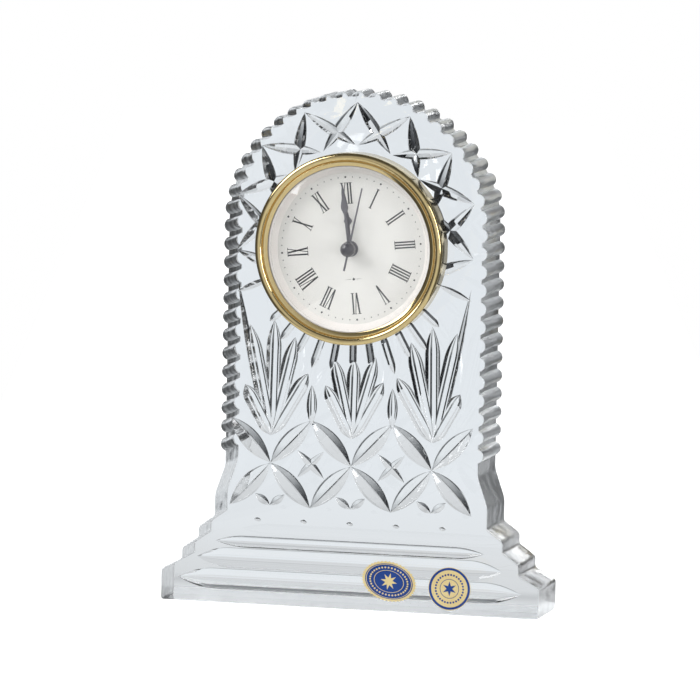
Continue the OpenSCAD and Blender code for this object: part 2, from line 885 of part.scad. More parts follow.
module minute_wheel() {
    hole = arbor_radius + running_gap;
    color([0.9, 0.9, 0.88])
    in_clock()
    translate([minute_at[0], minute_at[1], 0]) {
        gear(minute_teeth, cannon_module, minute_angle, cannon_z, wheel_thickness, hole);
        gear(minute_pinion, hour_module, minute_angle + 180, cannon_z + wheel_thickness,
            hour_wheel_z + pinion_thickness - cannon_z - wheel_thickness, hole);
    }
}

module hour_wheel() {
    color([0.85, 0.85, 0.82])
    in_clock() {
        gear(hour_teeth, hour_module, minute_angle + 180 / hour_teeth, hour_wheel_z, wheel_thickness, pipe_bore);
        ring(pipe_radius, pipe_bore, hour_wheel_z, hour_hand_z + hand_thickness);
    }
}

module setting_shaft() {
    color([0.9, 0.9, 0.88])
    in_clock()
    translate([setting_at[0], setting_at[1], 0]) {
        gear(setting_teeth, cannon_module, minute_angle + 180 + 180 / setting_teeth, cannon_z, wheel_thickness, 0.1);
        disc(cannon_radius, cup_back - knob_gap, cannon_z);
    }
}

// Ribbed knob behind the case
module setting_knob() {
    color([0.15, 0.15, 0.16])
    in_clock()
    translate([setting_at[0], setting_at[1], cup_back - knob_gap - knob_height])
    linear_extrude(height = knob_height)
    polygon([for (i = [0 : 47]) polar(knob_diameter / 2 - (i % 2) * 0.3, 7.5 * i)]);
}

module button_cell() {
    color([0.78, 0.79, 0.8])
    in_clock()
    translate([cell_at[0], cell_at[1], 0]) {
        disc(cell_diameter / 2, cell_back, cell_front - 0.6);
        disc(cell_diameter / 2 - 0.9, cell_back, cell_front);
    }
}

module cell_contact_minus() {
    color([0.85, 0.75, 0.45])
    in_clock()
    translate([cell_at[0], cell_at[1], 0])
    disc(3.6, cell_front, cell_front + contact_thickness);
}

// Strap that stands beside the cell, from the board's level to the bridge
module cell_contact_plus() {
    color([0.85, 0.75, 0.45])
    in_clock()
    translate([cell_at[0], cell_at[1], 0])
    intersection() {
        ring(cell_hole - 0.05, cell_diameter / 2, cell_back + 0.4, bridge_front);
        rotate([0, 0, 100])
        translate([0, -3, cell_back - 1])
        cube([cell_diameter, 6, cell_thickness + 4]);
    }
}

// Coin-slot cap with a plug that fits the case's opening
module battery_hatch() {
    color([0.2, 0.2, 0.21])
    in_clock()
    translate([cell_at[0], cell_at[1], 0])
    difference() {
        union() {
            disc(hatch_diameter / 2, cup_back - hatch_rim, cup_back);
            disc(hatch_plug, cup_back, cup_floor);
        }
        translate([-hatch_diameter / 3, -0.8, cup_back - hatch_rim - 1])
        cube([2 * hatch_diameter / 3, 1.6, 1.6]);
    }
}

// Hands, pointing up the dial before their turn at rest

minute_rest = 2;
second_rest = -17.5;

// A hand with a round boss, a straight stem and a leaf near its end
module leaf_hand(length, leaf_from, leaf_wide, leaf_width, boss, hole, z, turn) {
    rotate([0, 0, turn])
    difference() {
        translate([0, 0, z])
        linear_extrude(height = hand_thickness) {
            circle(r = boss);
            polygon([
                [stem_width / 2, 0],
                [stem_width / 2, leaf_from],
                [leaf_width / 2, leaf_wide],
                [leaf_width / 6, (leaf_wide + length) / 2],
                [0, length],
                [-leaf_width / 6, (leaf_wide + length) / 2],
                [-leaf_width / 2, leaf_wide],
                [-stem_width / 2, leaf_from],
                [-stem_width / 2, 0]
            ]);
        }
        disc(hole, z - 1, z + 2);
    }
}

module hour_hand() {
    color([0.3, 0.29, 0.31])
    in_clock()
    leaf_hand(hour_hand_length, 8.4, 9.9, 3, hand_boss, pipe_radius, hour_hand_z, 0);
}

module minute_hand() {
    color([0.3, 0.29, 0.31])
    in_clock()
    leaf_hand(minute_hand_length, 12.4, 15, 2.5, 2.2, cannon_radius, minute_hand_z, minute_rest);
}

module second_hand() {
    color([0.3, 0.29, 0.31])
    in_clock()
    rotate([0, 0, second_rest])
    difference() {
        translate([0, 0, second_hand_z])
        linear_extrude(height = hand_thickness) {
            circle(r = 1.4);
            translate([-0.3, -second_hand_tail])
            square([0.6, second_hand_tail + second_hand_length]);
        }
        disc(arbor_radius, second_hand_z - 1, second_hand_z + 2);
    }
}

// Ball cap, cut flat where it sits on the second hand
module hand_cap() {
    color([0.22, 0.21, 0.23])
    in_clock()
    intersection() {
        translate([0, 0, cap_z + 1])
        sphere(r = cap_diameter / 2);
        disc(cap_diameter, cap_z, cap_z + cap_diameter);
    }
}

crystal_body();
oval_label();
round_label();
bezel();
lens();
dial_ring();
dial();
lock_ring();
case_cup();
grip_gasket();
mainplate();
train_bridge();
bridge_screws();
circuit_board();
ic_chip();
quartz_can();
stator();
coil_core();
coil_winding();
rotor_magnet();
rotor_pinion();
fifth_wheel();
seconds_wheel();
third_wheel();
centre_wheel();
cannon_pinion();
minute_wheel();
hour_wheel();
setting_shaft();
setting_knob();
button_cell();
cell_contact_minus();
cell_contact_plus();
battery_hatch();
hour_hand();
minute_hand();
second_hand();
hand_cap();
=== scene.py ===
import bpy
import numpy as np
from mathutils import Matrix


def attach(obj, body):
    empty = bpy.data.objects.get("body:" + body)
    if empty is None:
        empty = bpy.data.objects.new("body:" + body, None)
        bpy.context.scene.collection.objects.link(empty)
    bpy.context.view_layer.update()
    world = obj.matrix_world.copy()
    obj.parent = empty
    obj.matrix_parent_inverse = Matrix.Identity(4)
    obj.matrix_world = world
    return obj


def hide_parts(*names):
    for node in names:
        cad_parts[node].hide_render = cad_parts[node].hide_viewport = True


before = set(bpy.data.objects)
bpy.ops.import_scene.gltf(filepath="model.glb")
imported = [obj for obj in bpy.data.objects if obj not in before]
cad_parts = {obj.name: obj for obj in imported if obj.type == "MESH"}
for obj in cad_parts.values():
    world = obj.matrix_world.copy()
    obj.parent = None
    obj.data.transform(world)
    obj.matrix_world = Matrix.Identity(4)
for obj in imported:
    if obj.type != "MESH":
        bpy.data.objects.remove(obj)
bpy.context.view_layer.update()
deg = np.pi / 180

# The camera looks a little down on the clock from its right, through a long lens, so the right
# side of the crystal and the tops of its steps show.
camera = bpy.data.objects.new("camera", bpy.data.cameras.new("camera"))
bpy.context.scene.collection.objects.link(camera)
camera.data.lens = 379.0
camera.data.sensor_width = 36
camera.data.clip_end = 20
camera.location = (0.65056, -2.56944, 0.38356)
turn, tilt, roll = 14.307 * deg, 6.261 * deg, 1.086 * deg
ahead = np.array([-np.sin(turn) * np.cos(tilt), np.cos(turn) * np.cos(tilt), -np.sin(tilt)])
level = np.array([np.cos(turn), np.sin(turn), 0])
lift = np.cross(level, ahead)
rightward = np.cos(roll) * level + np.sin(roll) * lift
upward = np.cos(roll) * lift - np.sin(roll) * level
camera.rotation_euler = Matrix(np.stack([rightward, upward, -ahead], 1).tolist()).to_euler()
bpy.context.scene.camera = camera
bpy.context.scene.view_settings.view_transform = "Standard"

# The studio: a pale table, a bright backdrop behind the clock and a dim room round it, which is how
# cut glass is lit, because the room's darkness draws the edges of the cuts. A softbox stands high on
# the left and a strip light on the right.


def linear(hexcode):
    """The linear colour of an sRGB hex code: c / 12.92 below 0.04045, else ((c + 0.055) / 1.055) ** 2.4."""
    c = np.array([int(hexcode[i:i + 2], 16) / 255 for i in (0, 2, 4)])
    return (*np.where(c <= 0.04045, c / 12.92, ((c + 0.055) / 1.055) ** 2.4), 1.0)


def add(tree, kind, settings=None, stops=(), **sockets):
    """Adds one shader node. settings are its own properties, and stops fill its colour ramp, as rows of
    (place, hex code). Each socket takes a value, another node's output, or a node for its first output. A
    socket's name has its spaces written as underscores, and a number after i_ picks a socket by its place."""
    node = tree.nodes.new("ShaderNode" + kind)
    for key, value in (settings or {}).items():
        setattr(node, key, value)
    for k, (place, shade) in enumerate(stops):
        row = node.color_ramp.elements
        stop = row[k] if k < 2 else row.new(place)
        stop.position, stop.color = place, linear(shade)
    for key, value in sockets.items():
        socket = node.inputs[int(key[2:])] if key[:2] == "i_" else node.inputs[key.replace("_", " ")]
        if isinstance(value, bpy.types.Node):
            value = value.outputs[0]
        if isinstance(value, bpy.types.NodeSocket):
            tree.links.new(value, socket)
        else:
            socket.default_value = value
    return node


world = bpy.data.worlds.new("studio")
bpy.context.scene.world = world
world.use_nodes = True
sky = world.node_tree
sky.nodes.clear()
rays = add(sky, "LightPath").outputs
# What the glass refracts, by the angle from the backdrop's middle: the wall behind the camera is at 0, the
# dark room lies between, and the backdrop begins at about 0.95.
backdrop_way = (-0.325, 0.944, 0.052)
nearness = add(sky, "VectorMath", {"operation": "DOT_PRODUCT"}, i_0=add(sky, "TexCoord").outputs["Generated"],
               i_1=backdrop_way).outputs["Value"]
place_round = add(sky, "MapRange", Value=nearness, From_Min=-1.0, From_Max=1.0)
room_shade = add(sky, "ValToRGB", Fac=place_round, stops=[
    (0.0, "d2d4d6"), (0.1, "aaacaf"), (0.2, "626467"), (0.32, "303134"), (0.62, "0e0f10"), (0.895, "151618"),
    (0.928, "323437"), (0.947, "626568"), (0.965, "b8bbbe"), (0.98, "e9edf0"), (1.0, "edf0f3")])
refracted = add(sky, "Background", Color=room_shade, Strength=1.0)
soft = add(sky, "Background", Color=(1, 1, 1, 1), Strength=0.9)
white = add(sky, "Background", Color=(1, 1, 1, 1), Strength=1.0)
bounced = add(sky, "Math", {"operation": "GREATER_THAN"}, i_0=rays["Diffuse Depth"], i_1=0.5)
lit = add(sky, "MixShader", i_0=bounced, i_1=refracted, i_2=soft)
# Mirror light gets a little of the white. Light in glass counts as mirror light too, so it is taken off.
mirror_share = 0.07
outside = add(sky, "Math", {"operation": "SUBTRACT"}, i_0=mirror_share, i_1=rays["Is Transmission Ray"])
mirrored = add(sky, "Math", {"operation": "MULTIPLY", "use_clamp": True}, i_0=rays["Is Glossy Ray"],
               i_1=outside)
room = add(sky, "MixShader", i_0=mirrored, i_1=lit, i_2=white)
backdrop = add(sky, "MixShader", i_0=rays["Is Camera Ray"], i_1=room, i_2=white)
add(sky, "OutputWorld", Surface=backdrop)


def softbox(name, place, aim, size, power):
    """A rectangular lamp at place, facing aim, both in metres; the camera doesn't see it."""
    lamp = bpy.data.lights.new(name, "AREA")
    lamp.shape, lamp.size, lamp.size_y, lamp.energy = "RECTANGLE", size[0], size[1], power
    box = bpy.data.objects.new(name, lamp)
    bpy.context.scene.collection.objects.link(box)
    away = np.array(place, float) - np.array(aim, float)
    away /= np.linalg.norm(away)
    side = np.cross((0, 0, 1), away)
    side /= np.linalg.norm(side)
    turned = np.stack([side, np.cross(away, side), away], 1).tolist()
    box.matrix_world = Matrix([[*row, p] for row, p in zip(turned, place)] + [[0, 0, 0, 1]])
    box.visible_camera = False


softbox("key_softbox", (-1.4, -0.75, 1.3), (0, 0, 0.11), (1.2, 1.2), 22)
softbox("strip_light", (1.3, -0.5, 0.45), (0, 0, 0.1), (0.25, 0.9), 5)


def put(name, points, faces, crisp=30):
    """Makes an object from points, an (n, 3) array in mm, and faces, a list of index rows. Its faces are
    smooth, and edges that turn by more than crisp degrees stay sharp."""
    mesh = bpy.data.meshes.new(name)
    mesh.from_pydata((np.asarray(points, float) * 0.001).tolist(), [], [list(map(int, f)) for f in faces])
    mesh.validate()
    mesh.polygons.foreach_set("use_smooth", np.ones(len(mesh.polygons), bool))
    mesh.set_sharp_from_angle(angle=crisp * deg)
    piece = bpy.data.objects.new(name, mesh)
    bpy.context.scene.collection.objects.link(piece)
    return piece


def quads(m, n, close_m=False, close_n=True):
    """The quads of an m by n grid of points, row by row: each joins (i, j), (i, j+1), (i+1, j+1) and
    (i+1, j), and a closed direction joins its last to its first."""
    i = np.arange(m if close_m else m - 1)[:, None]
    j = np.arange(n if close_n else n - 1)[None, :]
    corners = [(i, j), (i, (j + 1) % n), ((i + 1) % m, (j + 1) % n), ((i + 1) % m, j)]
    return np.stack([row * n + col + 0 * i + 0 * j for row, col in corners], -1).reshape(-1, 4)


# The table is a strip that runs back from the clock, so that no edge of it shows through the glass.
strip = [[65, -900, -0.02], [395, -900, -0.02], [-395, 2200, -0.02], [-725, 2200, -0.02]]
table = put("table", strip, [[0, 1, 2, 3]])
matt = bpy.data.materials.new("matt_white_laminate_painted_glow")
matt.use_nodes = True
laminate = matt.node_tree
laminate.nodes.clear()
paper = add(laminate, "BsdfDiffuse", Color=linear("d8d8d8"))
glow = add(laminate, "Emission", Color=(1, 1, 1, 1), Strength=0.57)
bright = add(laminate, "AddShader", i_0=paper, i_1=glow)
# Through the glass it is a painted glow that the lamps don't light: it runs from pale under the foot to the
# backdrop's white, with one grey line of painted shadow between.
on_table = add(laminate, "TexCoord").outputs["Object"]
distance = add(laminate, "SeparateXYZ", Vector=on_table).outputs["Y"]
share_back = add(laminate, "MapRange", Value=distance, From_Min=-0.1, From_Max=0.4)
painted_glow_ramp = add(laminate, "ValToRGB", Fac=share_back, stops=[
    (0.0, "d8dadc"), (0.2, "dcdee0"), (0.27, "dadcde"), (0.3, "c4c6c8"), (0.33, "dadcde"), (0.45, "dfe1e3"),
    (0.6, "e6e9ec"), (1.0, "ebeff3")])
painted_glow = add(laminate, "Emission", Color=painted_glow_ramp, Strength=1.0)
path = add(laminate, "LightPath").outputs
by_glass = add(laminate, "Math", {"operation": "MAXIMUM"}, i_0=path["Is Transmission Ray"],
               i_1=path["Is Glossy Ray"])
by_camera = add(laminate, "MixShader", i_0=path["Is Camera Ray"], i_1=paper, i_2=bright)
either = add(laminate, "MixShader", i_0=by_glass, i_1=by_camera, i_2=painted_glow)
add(laminate, "OutputMaterial", Surface=either)
table.data.materials.append(matt)

# The crystal: one pressed block of lead glass, ground flat in front and behind, with a scalloped arch
# on three steps. The decoration is cut with V-edged wheels and polished in acid, which leaves clear
# facets with slightly soft edges.
high, thick, foot_half, column_half = 187.6, 28.2, 70.4, 97.7 / 2
arch_centre = high - column_half
clock_height, bore_radius = 131.5, 30
scallop, dip, pitch = 2.6, 1.85, 6.63
valley = column_half - dip


def soften(corners, length):
    """Rounds the corners of an open line: each becomes a quadratic curve between the points that lie length
    away from it on both sides, (1-s)^2 A + 2 s (1-s) P + s^2 B."""
    corners, length = np.asarray(corners, float), np.asarray(length, float)[:, None]
    before, at, after = corners[:-2], corners[1:-1], corners[2:]
    a = at + length * (before - at) / np.linalg.norm(before - at, axis=1, keepdims=True)
    b = at + length * (after - at) / np.linalg.norm(after - at, axis=1, keepdims=True)
    s = np.linspace(0, 1, 6)[None, :, None]
    curve = (1 - s) ** 2 * a[:, None] + 2 * s * (1 - s) * at[:, None] + s ** 2 * b[:, None]
    return np.concatenate([corners[:1], curve.reshape(-1, 2), corners[-1:]])


# The outline's right half: the steps up to the waist, then round noses up the column and over the arch
waist, first, arch_noses, first_lean = 50.4, arch_centre - 1.3, 12, 6.25
steps = soften(
    [(0, 0), (foot_half, 0), (foot_half, 11.2), (62.7, 15.4), (62.7, 19.3), (56.6, 23.5), (56.6, 27.4),
     (50.7, 31.6), (50.7, 39.7), (valley, waist), (valley, 53)],
    [1.0, 1.2, 0.8, 1.2, 0.8, 1.2, 0.8, 2.0, 1.5])
rows = int((first - waist - scallop) // pitch)
lean = np.concatenate([np.zeros(rows + 1), np.linspace(first_lean, 90, arch_noses)]) * deg
middle = np.stack([np.cos(lean), np.sin(lean)], 1) * (column_half - scallop) + [0, arch_centre]
up_column = first - pitch * np.arange(rows, -1, -1)
middle[:rows + 1] = np.stack([np.full(rows + 1, column_half - scallop), up_column], 1)
swing = np.arccos((valley - column_half + scallop) / scallop) * np.linspace(-1, 1, 13)
swung = lean[:, None] + swing[None]
nose = middle[:, None] + scallop * np.stack([np.cos(swung), np.sin(swung)], -1)
# The topmost nose is halved, because the left half of the outline mirrors the right
right = np.concatenate([steps[:-1], nose.reshape(-1, 2)[:-6]])
outline = np.concatenate([right, right[:0:-1] * [-1, 1]])
edge = np.roll(outline, -1, 0) - np.roll(outline, 1, 0)
inward = np.stack([-edge[:, 1], edge[:, 0]], 1) / np.linalg.norm(edge, axis=1, keepdims=True)
# From front to back: a rounded edge, rows along the wall and a rounded edge
polish = 0.45
quarter = np.linspace(0, np.pi / 2, 5)
along_wall = np.linspace(-10.5, 10.5, 7)
inset = np.concatenate([polish * (1 - np.sin(quarter)), 0 * along_wall, polish * (1 - np.cos(quarter))])
depth = np.concatenate([-thick / 2 + polish * (1 - np.cos(quarter)), along_wall,
                        thick / 2 - polish * (1 - np.sin(quarter))])
# The wheel that grinds each valley between two scallops cuts deepest halfway through the block.
home = np.stack([0 * outline[:, 0], np.where(outline[:, 1] > arch_centre, arch_centre, outline[:, 1])], 1)
reach = np.linalg.norm(outline - home, axis=1)
hollow = np.clip((column_half - reach) / dip, 0, 1) * np.clip((outline[:, 1] - 54) / 6, 0, 1)
homeward = (home - outline) / reach[:, None] * hollow[:, None]
dive = 0.6 * np.clip(1 - (depth / (thick / 2 - polish)) ** 2, 0, 1)
loops = outline[None] + inset[:, None, None] * inward[None] + dive[:, None, None] * homeward[None]
deep_rows = np.broadcast_to(depth[:, None], loops.shape[:2])
shell = np.stack([loops[..., 0], deep_rows, loops[..., 1]], -1)
count = len(outline)
faces = quads(len(depth), count)[:, ::-1].tolist()
faces += [list(range(count)), list(range(count * (len(depth) - 1), count * len(depth)))[::-1]]
crystal = put("crystal_block", shell.reshape(-1, 3), faces)


def groove(start, end, width, profile, straight=0.0):
    """The space that a grinding wheel clears in the front face from start to end, each (x, z). Across it, the
    depth is the running sum of the slopes, which profile gives from the middle out to the rim as rows of
    (share of the half width, degrees). Along it, width and depth keep their full size over the straight share
    of the length and shrink as 1 - t^2 beyond, so each end is half a leaf."""
    start, end = np.array(start, float), np.array(end, float)
    length = np.linalg.norm(end - start)
    run = (end - start) / length
    # The wheel's shape goes on this far in front of the face, so that it cuts cleanly through it
    over = 0.4
    share, slopes = np.array(profile, float).T
    u, slopes = share * width / 2, np.tan(slopes * deg)
    rise = np.concatenate([[0], np.cumsum((slopes[1:] + slopes[:-1]) / 2 * np.diff(u))])
    deep = rise[-1]
    rim = over / slopes[-1]
    across, down = np.concatenate([-u[:0:-1], u]), np.concatenate([rise[:0:-1], rise]) - deep
    t = np.linspace(-0.985, 0.985, 35)[:, None]
    scale = 1 - t ** 2
    along = (t * (1 - straight) + np.sign(t) * straight * (np.abs(t) > 1e-9)) * length / 2
    x = np.concatenate([scale * across[:1] - rim, scale * across, scale * across[-1:] + rim], 1)
    y = np.concatenate([0 * t + over, scale * down, 0 * t + over], 1)
    along = along + 0 * x
    m, n = x.shape
    # The two tips close the ends, where the leaf's depth runs out above the face
    far = length / 2 * (straight + (1 - straight) * np.sqrt(1 + over / deep))
    tips = ((x, (0, 0)), (y, (over, over)), (along, (-far, far)))
    x, y, along = [np.concatenate([grid.ravel(), tip]) for grid, tip in tips]
    mid = (start + end) / 2
    points = np.stack([mid[0] + along * run[0] - x * run[1], -thick / 2 - y,
                       mid[1] + along * run[1] + x * run[0]], 1)
    k = np.arange(n)
    near = np.stack([0 * k + m * n, (k + 1) % n, k], 1)
    distant = np.stack([0 * k + m * n + 1, (m - 1) * n + k, (m - 1) * n + (k + 1) % n], 1)
    return points, quads(m, n).tolist() + near.tolist() + distant.tolist()


# The wheels' edges: a mitre for the crosses, a steep one for the rays and the ring of points, a plain
# notch, and a double one for the petals, whose dark lines come from its two steep shoulders.
mitre = [(0, 62), (0.1, 62), (0.14, 37), (0.8, 37), (0.85, 58), (0.96, 58), (1, 12)]
steep = [(0, 40), (0.56, 42), (0.64, 60), (0.92, 60), (1, 20)]
notch = [(0, 62), (1, 62)]
twice = [(0, 6), (0.24, 9), (0.3, 56), (0.43, 56), (0.48, 14), (0.62, 16), (0.68, 60), (0.92, 62), (0.96, 35),
         (1, 15)]
both, crossings, crossing_height, fan_height = (-1, 1), (-30, 0, 30), 52, 62
# Three crosses, with a tuft below each and a small cross between two
cuts = [((c, crossing_height), (c + sx * 15, crossing_height + sz * 16), 7.0, mitre, 0.0)
        for c in crossings for sx in both for sz in both]
cuts += [((c, 36.5), (c + s * 5.5, 40.5), 2.9, mitre, 0.0) for c in crossings for s in both]
cuts += [((c - 5, crossing_height - 5 * s), (c + 5, crossing_height + 5 * s), 2.9, mitre, 0.0)
         for c in (-15, 15) for s in both]
# Three fans of five petals, a spear between two fans, and a long cut beyond each outer one
cuts += [((s * 30, fan_height), (s * (30 + x), z), 5.8, twice, 0.5) for s in both
         for x, z in ((-13.5, 85), (-8.5, 98), (-0.7, 104), (8.5, 102), (10, 80))]
cuts += [((0, fan_height), (x, z), 5.4, twice, 0.5)
         for x, z in ((-10, 81), (-7, 91), (0.5, 91), (8.5, 92), (11.5, 83))]
cuts += [((s * 15, 66), (s * 15, 81), 4.0, twice, 0.0) for s in both]
cuts += [((s * 33.5, 67), (s * 43.3, 118), 2.5, steep, 0.0) for s in both]
# Five small notches over the foot, and a bar on each side of the clock
cuts += [((17.2 * k - 1.3, 31.2), (17.2 * k + 1.3, 30.8), 1.5, notch, 0.0) for k in range(-2, 3)]
cuts += [((s * 31, 119.2), (s * 43.5, 113.6), 2.4, notch, 0.0) for s in both]
# The ring of points round the arch, each drawn by two cuts that cross their neighbours', and the rays below
step = 360 / 14 * deg
cuts += [((45 * np.sin(k * step), arch_centre + 45 * np.cos(k * step)),
          (29.5 * np.sin((k + s * 0.97) * step), arch_centre + 29.5 * np.cos((k + s * 0.97) * step)),
          4.2, steep, 0.0) for k in range(-4, 5) for s in both]
cuts += [((32 * np.sin(a * deg), clock_height - 32 * np.cos(a * deg)),
          (r * np.sin(a * deg), clock_height - r * np.cos(a * deg)), 2.8, steep, 0.45)
         for a, r in ((-48, 42), (-38, 44), (-28, 45), (-19, 47), (-10, 46), (0, 44), (9.5, 45), (19, 48),
                      (28.7, 45), (37.2, 45.5), (49, 42))]
# The foot's three flutes, by height, width, half length and slope at the rim in degrees. Each is round
# across, with faint streaks, which the wave of 6 degrees gives.
for z, w, r, e in ((8.7, 7.6, 64, 43), (16.5, 7.5, 57, 43), (22.6, 4.3, 50, 70)):
    v = np.linspace(0, 1, 25)
    streaks = 6 * np.sin(21 * v) + 2
    hollow_round = np.stack([v, np.arcsin(v * np.sin(e * deg)) / deg + streaks], 1)
    cuts.append(((-r, z), (r, z), w, hollow_round, 0.78))
tools = [groove(*cut) for cut in cuts]
# The clock's bore, the slope of the upper back and the bevel along the foot's rear edge
back, beyond, sides_off = thick / 2, 40, (-80, 80)
around = np.linspace(0, 2 * np.pi, 160, endpoint=False)
bore = np.stack([np.stack([bore_radius * np.cos(around), np.full(160, y),
                           clock_height + bore_radius * np.sin(around)], -1) for y in (20, -20)])
tools.append((bore.reshape(-1, 3), quads(2, 160).tolist() + [list(range(160))[::-1], list(range(160, 320))]))
slope, slope_foot, slope_top, bevel = np.tan(16 * deg), 146, 206, 2.4
wedge_side = ((back, slope_foot), (back - slope * (slope_top - slope_foot), slope_top), (beyond, slope_top),
              (beyond, slope_foot))
wedge = np.array([[x, y, z] for x in sides_off for y, z in wedge_side])
tools.append((wedge, [[0, 1, 2, 3], [7, 6, 5, 4], [0, 4, 5, 1], [1, 5, 6, 2], [2, 6, 7, 3], [3, 7, 4, 0]]))
bevel_side = ((back - bevel, 0), (back, bevel), (20, bevel), (20, -5), (back - bevel, -5))
chamfer = np.array([[x, y, z] for x in sides_off for y, z in bevel_side])
tools.append((chamfer, [[0, 1, 2, 3, 4], [9, 8, 7, 6, 5], [0, 5, 6, 1], [1, 6, 7, 2], [2, 7, 8, 3],
                        [3, 8, 9, 4], [4, 9, 5, 0]]))
wheels = []
for k, (points, sides) in enumerate(tools):
    wheel = put(f"wheel_{k}", points, sides)
    cut = crystal.modifiers.new(f"cut_{k}", "BOOLEAN")
    cut.operation, cut.solver, cut.object = "DIFFERENCE", "MANIFOLD", wheel
    wheels.append(wheel)
bpy.context.view_layer.update()
carved = bpy.data.meshes.new_from_object(crystal.evaluated_get(bpy.context.evaluated_depsgraph_get()))
crystal.modifiers.clear()
crystal.data = carved
for wheel in wheels:
    bpy.data.objects.remove(wheel)
# The front and back are ground flat, so their faces are flat shaded; the rest is smooth to 28 degrees.
normals = np.zeros(len(carved.polygons) * 3, np.float32)
carved.polygons.foreach_get("normal", normals)
carved.polygons.foreach_set("use_smooth", np.abs(normals[1::3]) < 0.99999)
carved.set_sharp_from_angle(angle=28 * deg)
even = crystal.modifiers.new("even_normals", "WEIGHTED_NORMAL")
even.keep_sharp = True


def material(name, **settings):
    """A new material with one Principled surface; returns it with its tree and that node."""
    made = bpy.data.materials.new(name)
    made.use_nodes = True
    tree = made.node_tree
    surface = tree.nodes["Principled BSDF"]
    for key, value in settings.items():
        surface.inputs[key.replace("_", " ")].default_value = value
    return made, tree, surface


# Lead crystal, 24 per cent lead oxide, acid polished: clear, with a high index that makes it bright. The
# outer walls keep the mould's dull skin, whose ripples are about 5 mm apart, and the rear bevel is ground.
glass, tree, surface = material("lead_crystal_acid_polished", Base_Color=linear("fafcfd"), Roughness=0.0,
                                IOR=1.545, Transmission_Weight=1.0)
here = add(tree, "TexCoord").outputs
# A normal turns round where light meets the wall from inside, so the masks leave out its sign.
way = add(tree, "SeparateXYZ", Vector=here["Normal"]).outputs
along_y = add(tree, "Math", {"operation": "ABSOLUTE"}, i_0=way["Y"])
along_z = add(tree, "Math", {"operation": "ABSOLUTE"}, i_0=way["Z"])
wall = add(tree, "MapRange", Value=along_y, From_Min=0.15, From_Max=0.6, To_Min=1.0, To_Max=0.0)
not_under = add(tree, "Math", {"operation": "LESS_THAN"}, i_0=along_z, i_1=0.985)
from_axis = add(tree, "Mapping", {"vector_type": "POINT"}, Vector=here["Object"],
                Location=(0, 0, -0.001 * clock_height), Scale=(1, 0, 1))
radius = add(tree, "VectorMath", {"operation": "LENGTH"}, i_0=from_axis).outputs["Value"]
not_bore = add(tree, "Math", {"operation": "GREATER_THAN"}, i_0=radius, i_1=0.034)
outer = add(tree, "Math", {"operation": "MULTIPLY"}, i_0=not_under, i_1=not_bore)
pressed = add(tree, "Math", {"operation": "MULTIPLY"}, i_0=wall, i_1=outer)
rear = add(tree, "VectorMath", {"operation": "DOT_PRODUCT"}, i_0=here["Normal"],
           i_1=(0, 0.7071, -0.7071)).outputs["Value"]
ground = add(tree, "Math", {"operation": "GREATER_THAN"},
             i_0=add(tree, "Math", {"operation": "ABSOLUTE"}, i_0=rear), i_1=0.99)
dull = add(tree, "Math", {"operation": "MULTIPLY"}, i_0=pressed, i_1=0.28)
rough = add(tree, "Math", {"operation": "MULTIPLY_ADD"}, i_0=ground, i_1=0.8, i_2=dull)
tree.links.new(rough.outputs[0], surface.inputs["Roughness"])
ripple = add(tree, "TexNoise", Vector=here["Object"], Scale=190.0, Detail=0.0)
height = add(tree, "Math", {"operation": "MULTIPLY"}, i_0=ripple, i_1=pressed)
uneven = add(tree, "Bump", Height=height, Distance=0.0006, Strength=1.0)
tree.links.new(uneven.outputs[0], surface.inputs["Normal"])
# Shadow rays pass straight through, tinted a little, so the clock's shadow is as pale as real crystal's.
clear = add(tree, "BsdfTransparent", Color=(0.92, 0.93, 0.94, 1))
mixed = add(tree, "MixShader", i_0=add(tree, "LightPath").outputs["Is Shadow Ray"], i_1=surface, i_2=clear)
tree.links.new(mixed.outputs[0], tree.nodes["Material Output"].inputs[0])
crystal.data.materials.clear()
crystal.data.materials.append(glass)
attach(crystal, "crystal")
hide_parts("crystal_body")

# The bezel: a ring turned from brass, polished and gold plated, that stands in front of the crystal.
# Its outer edge is rolled, a fine groove follows it inside, and its lip holds the lens.


def facing(points, at=(0.0, clock_height), turn=6.0):
    """Points drawn flat, z towards the viewer from the crystal's face, put in their place: turned
    anticlockwise by turn degrees, moved to at, (x, z), and stood up, so that y becomes z and z becomes -y.
    The clock's own place is given."""
    x, y, z = np.moveaxis(np.asarray(points, float), -1, 0)
    c, s = np.cos(turn * deg), np.sin(turn * deg)
    return np.stack([at[0] + c * x - s * y, -thick / 2 - z, at[1] + s * x + c * y], -1)


def lathe(profile, count=192, stretch=(1.0, 1.0), swell=None):
    """A profile, rows of (r, z), turned round the z axis: (r R cos a, r R sin a, z), where R is 1 or swell at
    angle a. A profile that starts and ends at r = 0 is closed by its two poles, and any other is a closed
    loop. Its order is turned round where its area is positive, so the faces look outwards."""
    profile = np.asarray(profile, float)
    r, z = profile.T
    if np.sum(r * np.roll(z, -1) - np.roll(r, -1) * z) > 0:
        profile = profile[::-1]
    poles = profile[0, 0] < 1e-6 and profile[-1, 0] < 1e-6
    rim = profile[1:-1] if poles else profile
    a = np.arange(count) * 2 * np.pi / count
    size = np.ones(count) if swell is None else swell(a)
    turned = np.stack([np.outer(size * np.cos(a), rim[:, 0]) * stretch[0],
                       np.outer(size * np.sin(a), rim[:, 0]) * stretch[1],
                       np.broadcast_to(rim[:, 1], (count, len(rim)))], -1).reshape(-1, 3)
    sides = quads(count, len(rim), True, not poles).tolist()
    if poles:
        turned = np.concatenate([turned, [[0, 0, profile[0, 1]], [0, 0, profile[-1, 1]]]])
        i, n = np.arange(count), len(rim)
        i, j = i * n, (i + 1) % count * n
        sides += np.stack([0 * i + count * n, i, j], 1).tolist()
        sides += np.stack([0 * i + count * n + 1, j + n - 1, i + n - 1], 1).tolist()
    return turned, sides


